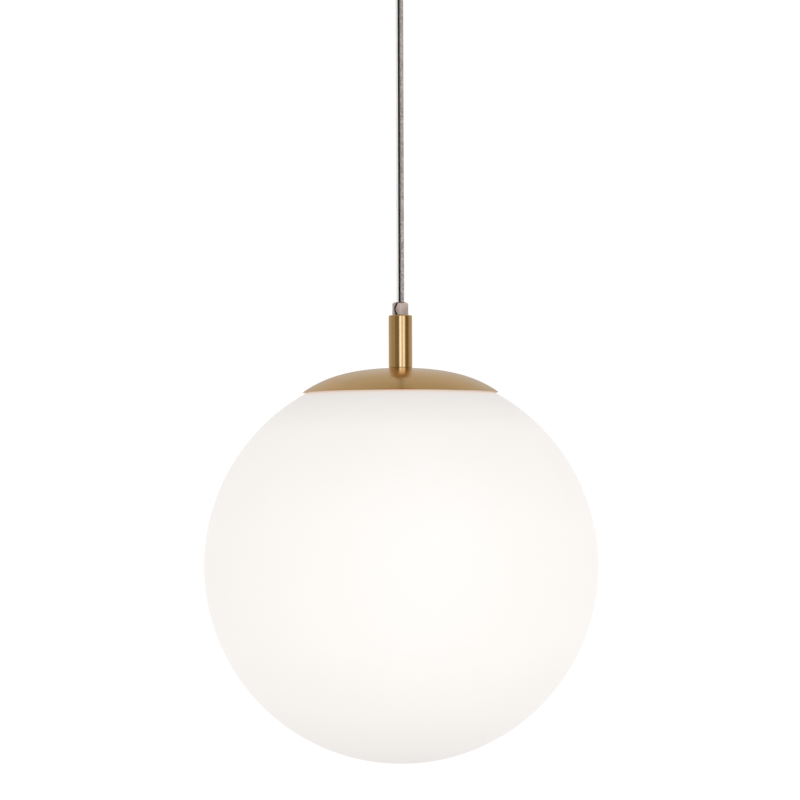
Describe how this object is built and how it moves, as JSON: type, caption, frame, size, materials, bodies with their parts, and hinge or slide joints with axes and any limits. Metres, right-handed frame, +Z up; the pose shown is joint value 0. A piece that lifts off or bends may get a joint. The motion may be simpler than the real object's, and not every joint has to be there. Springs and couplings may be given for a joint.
{
  "type": "pendant ceiling light",
  "caption": "Opal glass globe pendant lamp with brass cap and stem on a clear-jacketed cord, ceiling canopy and cord gland; it swings, and its globe and bulb come off.",
  "frame": {"origin": "centre of the ceiling bracket's top face, on the ceiling plane; the lamp hangs below it", "axes": "+Z up along the cord and the globe's axis, out of the bracket's top face; the bracket's length and its slots lie along X"},
  "size_m": [0.3, 0.3, 0.642],
  "materials": {
    "satin_brass": "satin, brushed and lacquered",
    "contact_brass": "bright stamped",
    "zinc_steel": "zinc plated",
    "green_steel": "green dipped",
    "opal_glass": "satin etched opal white",
    "porcelain": "glazed",
    "clear_plastic": "clear, gloss",
    "cord_jacket": "clear jacket over a metallic grey braid",
    "black_rubber": "matt",
    "silicone": "white silicone, matt",
    "brown_wire": "insulation",
    "blue_wire": "insulation",
    "green_wire": "insulation",
    "nut_plastic": "moulded",
    "bulb_plastic": "moulded",
    "black_glass": "gloss",
    "led_board": "white solder mask",
    "diffuser": "opal"
  },
  "bodies": {
    "ceiling": {"ceiling_bracket": "zinc_steel", "canopy_stud_left": "zinc_steel", "canopy_stud_right": "zinc_steel", "cap_nut_left": "satin_brass", "cap_nut_right": "satin_brass", "canopy": "satin_brass", "gland_body": "satin_brass", "gland_lock_nut": "zinc_steel", "gland_dome_nut": "satin_brass", "ground_screw": "green_steel", "ground_lug": "zinc_steel", "wire_nut_live": "nut_plastic", "wire_nut_neutral": "nut_plastic", "ceiling_lead_live": "brown_wire", "ceiling_lead_neutral": "blue_wire", "ceiling_lead_ground": "green_wire", "cord_upper_tail": "cord_jacket"},
    "gland_seal": {"gland_seal": "black_rubber"},
    "cord": {"cord": "cord_jacket", "cord_ball": "contact_brass"},
    "lamp": {"lamp_cord_grip": "clear_plastic", "stem": "satin_brass", "stem_washer": "black_rubber", "threaded_nipple": "zinc_steel", "cap": "satin_brass", "cap_gasket": "silicone", "lock_washer": "zinc_steel", "hex_nut_upper": "zinc_steel", "hex_nut_lower": "zinc_steel", "holder_plate": "zinc_steel", "spring_clip_1": "zinc_steel", "spring_clip_2": "zinc_steel", "spring_clip_3": "zinc_steel", "clip_screw_1": "zinc_steel", "clip_screw_2": "zinc_steel", "clip_screw_3": "zinc_steel", "socket_cap": "zinc_steel", "socket_screw_1": "zinc_steel", "socket_screw_2": "zinc_steel", "socket_body": "porcelain", "screw_shell": "contact_brass", "centre_contact": "contact_brass", "terminal_screw_live": "contact_brass", "terminal_screw_neutral": "contact_brass", "lamp_lead_live": "brown_wire", "lamp_lead_neutral": "blue_wire", "lamp_lead_ground": "green_wire"},
    "globe": {"globe": "opal_glass"},
    "bulb_tip": {"bulb_tip": "zinc_steel"},
    "bulb": {"bulb_insulator": "black_glass", "bulb_screw_base": "contact_brass", "bulb_housing": "bulb_plastic", "led_board": "led_board", "bulb_diffuser": "diffuser"}
  },
  "joints": [
    {"name": "swing_side", "type": "hinge", "parent": "ceiling", "child": "gland_seal", "pos_m": [0, 0, -0.038], "axis": [0, 1, 0], "range_deg": [-20, 20]},
    {"name": "swing_front", "type": "hinge", "parent": "gland_seal", "child": "cord", "pos_m": [0, 0, -0.038], "axis": [1, 0, 0], "range_deg": [-20, 20]},
    {"name": "lamp_twist", "type": "hinge", "parent": "cord", "child": "lamp", "pos_m": [0, 0, -0.3012], "axis": [0, 0, 1], "range_deg": [-180, 180]},
    {"name": "globe_drop", "type": "slide", "parent": "lamp", "child": "globe", "axis": [0, 0, -1], "range_m": [0, 0.16], "deforming": ["spring_clip_1", "spring_clip_2", "spring_clip_3"]},
    {"name": "bulb_drop", "type": "slide", "parent": "lamp", "child": "bulb_tip", "axis": [0, 0, -1], "range_m": [0, 0.0181]},
    {"name": "bulb_turn", "type": "hinge", "parent": "bulb_tip", "child": "bulb", "pos_m": [0, 0, -0.392], "axis": [0, 0, -1], "range_deg": [0, 1800]}
  ],
  "couplings": [
    {"joint": "bulb_turn", "follows": "bulb_drop", "rad_per_m": 1731.5}
  ]
}
